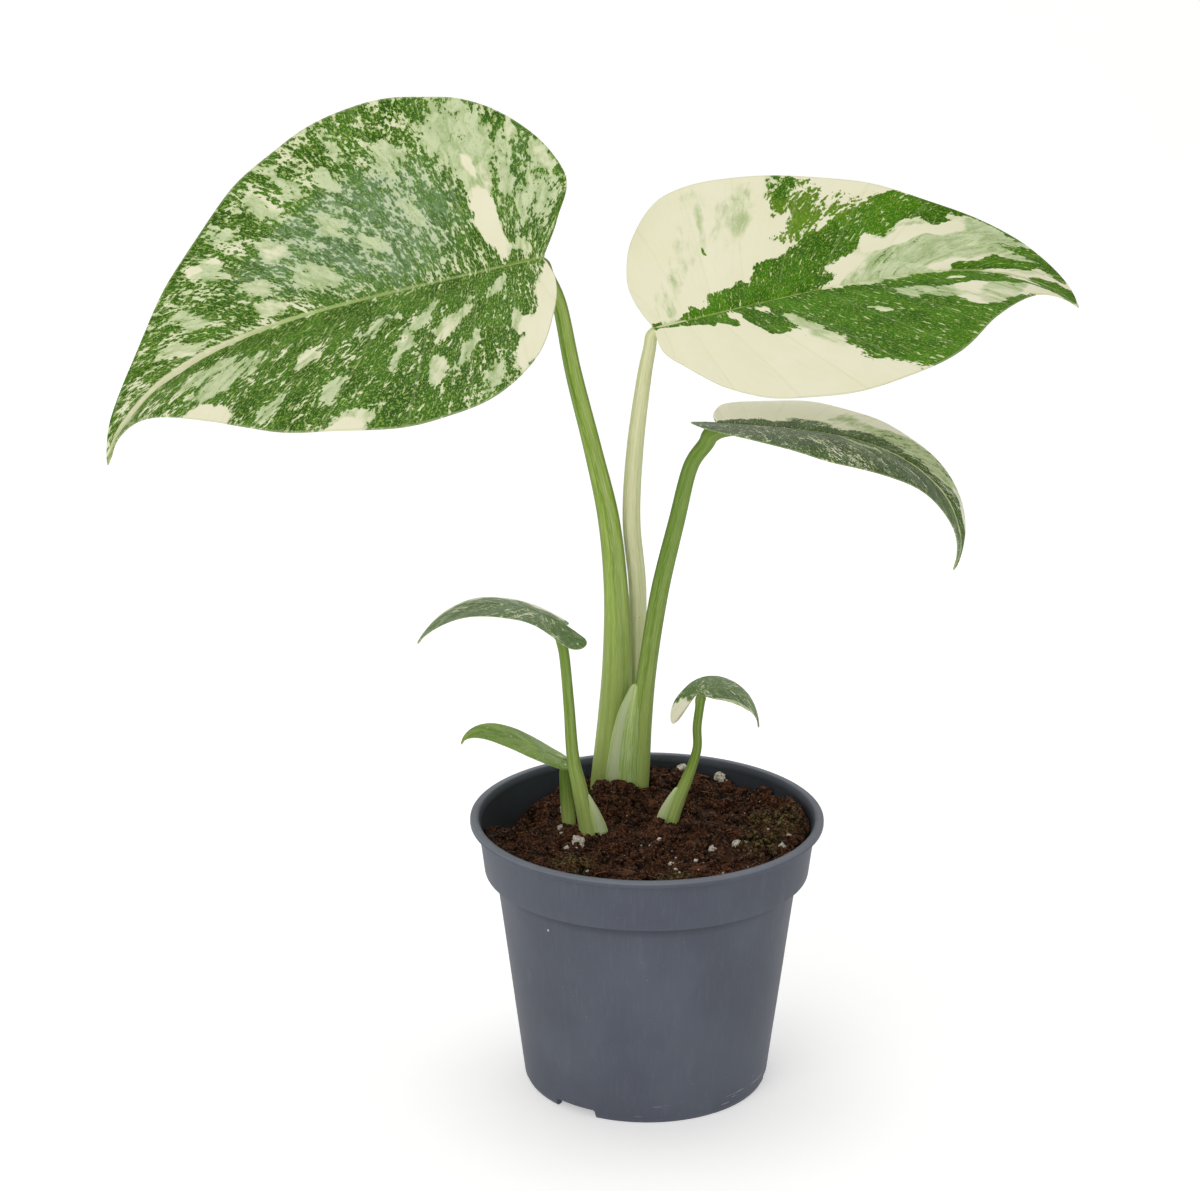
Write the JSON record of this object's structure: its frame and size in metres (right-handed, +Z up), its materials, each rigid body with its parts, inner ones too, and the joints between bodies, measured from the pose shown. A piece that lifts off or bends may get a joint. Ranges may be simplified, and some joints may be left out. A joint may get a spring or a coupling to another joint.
{
  "type": "potted monstera",
  "caption": "Young variegated monstera with marbled green and cream leaves on upright stalks, rooted in soil in a grey round nursery pot.",
  "frame": {"origin": "on the pot's axis, on the surface that the pot stands on", "axes": "+Z up, -Y towards the front of the plant, +X towards the leaf with the cream half"},
  "size_m": [0.3275, 0.1212, 0.3327],
  "materials": {
    "pot_plastic": "satin moulded polypropylene, slate grey with fine scuffs",
    "soil": "moist fibrous peat potting mix, dark brown",
    "perlite": "porous off-white expanded grains",
    "stem_base": "pale green-brown living stem",
    "green_stalk": "smooth ribbed living stalk, yellow-green with pale stripes",
    "cream_stalk": "smooth ribbed living stalk, cream with green edges",
    "green_blade": "waxy leaf, green flecked with cream and sage",
    "half_cream_blade": "waxy leaf, cream and green sectors",
    "marbled_blade": "waxy leaf, cream far half and speckled dark green near half",
    "small_blade": "waxy young leaf, grey-green with pale flecks"
  },
  "bodies": {
    "root": {"pot": "pot_plastic", "root_ball": "soil", "perlite_grain_1": "perlite", "perlite_grain_2": "perlite", "perlite_grain_3": "perlite", "perlite_grain_4": "perlite", "main_stem_base": "stem_base", "left_stem_base": "stem_base", "right_stem_base": "stem_base", "large_left_stalk": "green_stalk", "large_right_stalk": "cream_stalk", "lower_right_stalk": "green_stalk", "small_left_stalk": "green_stalk", "small_low_left_stalk": "green_stalk", "small_right_stalk": "green_stalk", "large_left_blade": "green_blade", "large_right_blade": "half_cream_blade", "lower_right_blade": "marbled_blade", "small_left_blade": "small_blade", "small_low_left_blade": "small_blade", "small_right_blade": "small_blade"}
  },
  "joints": []
}
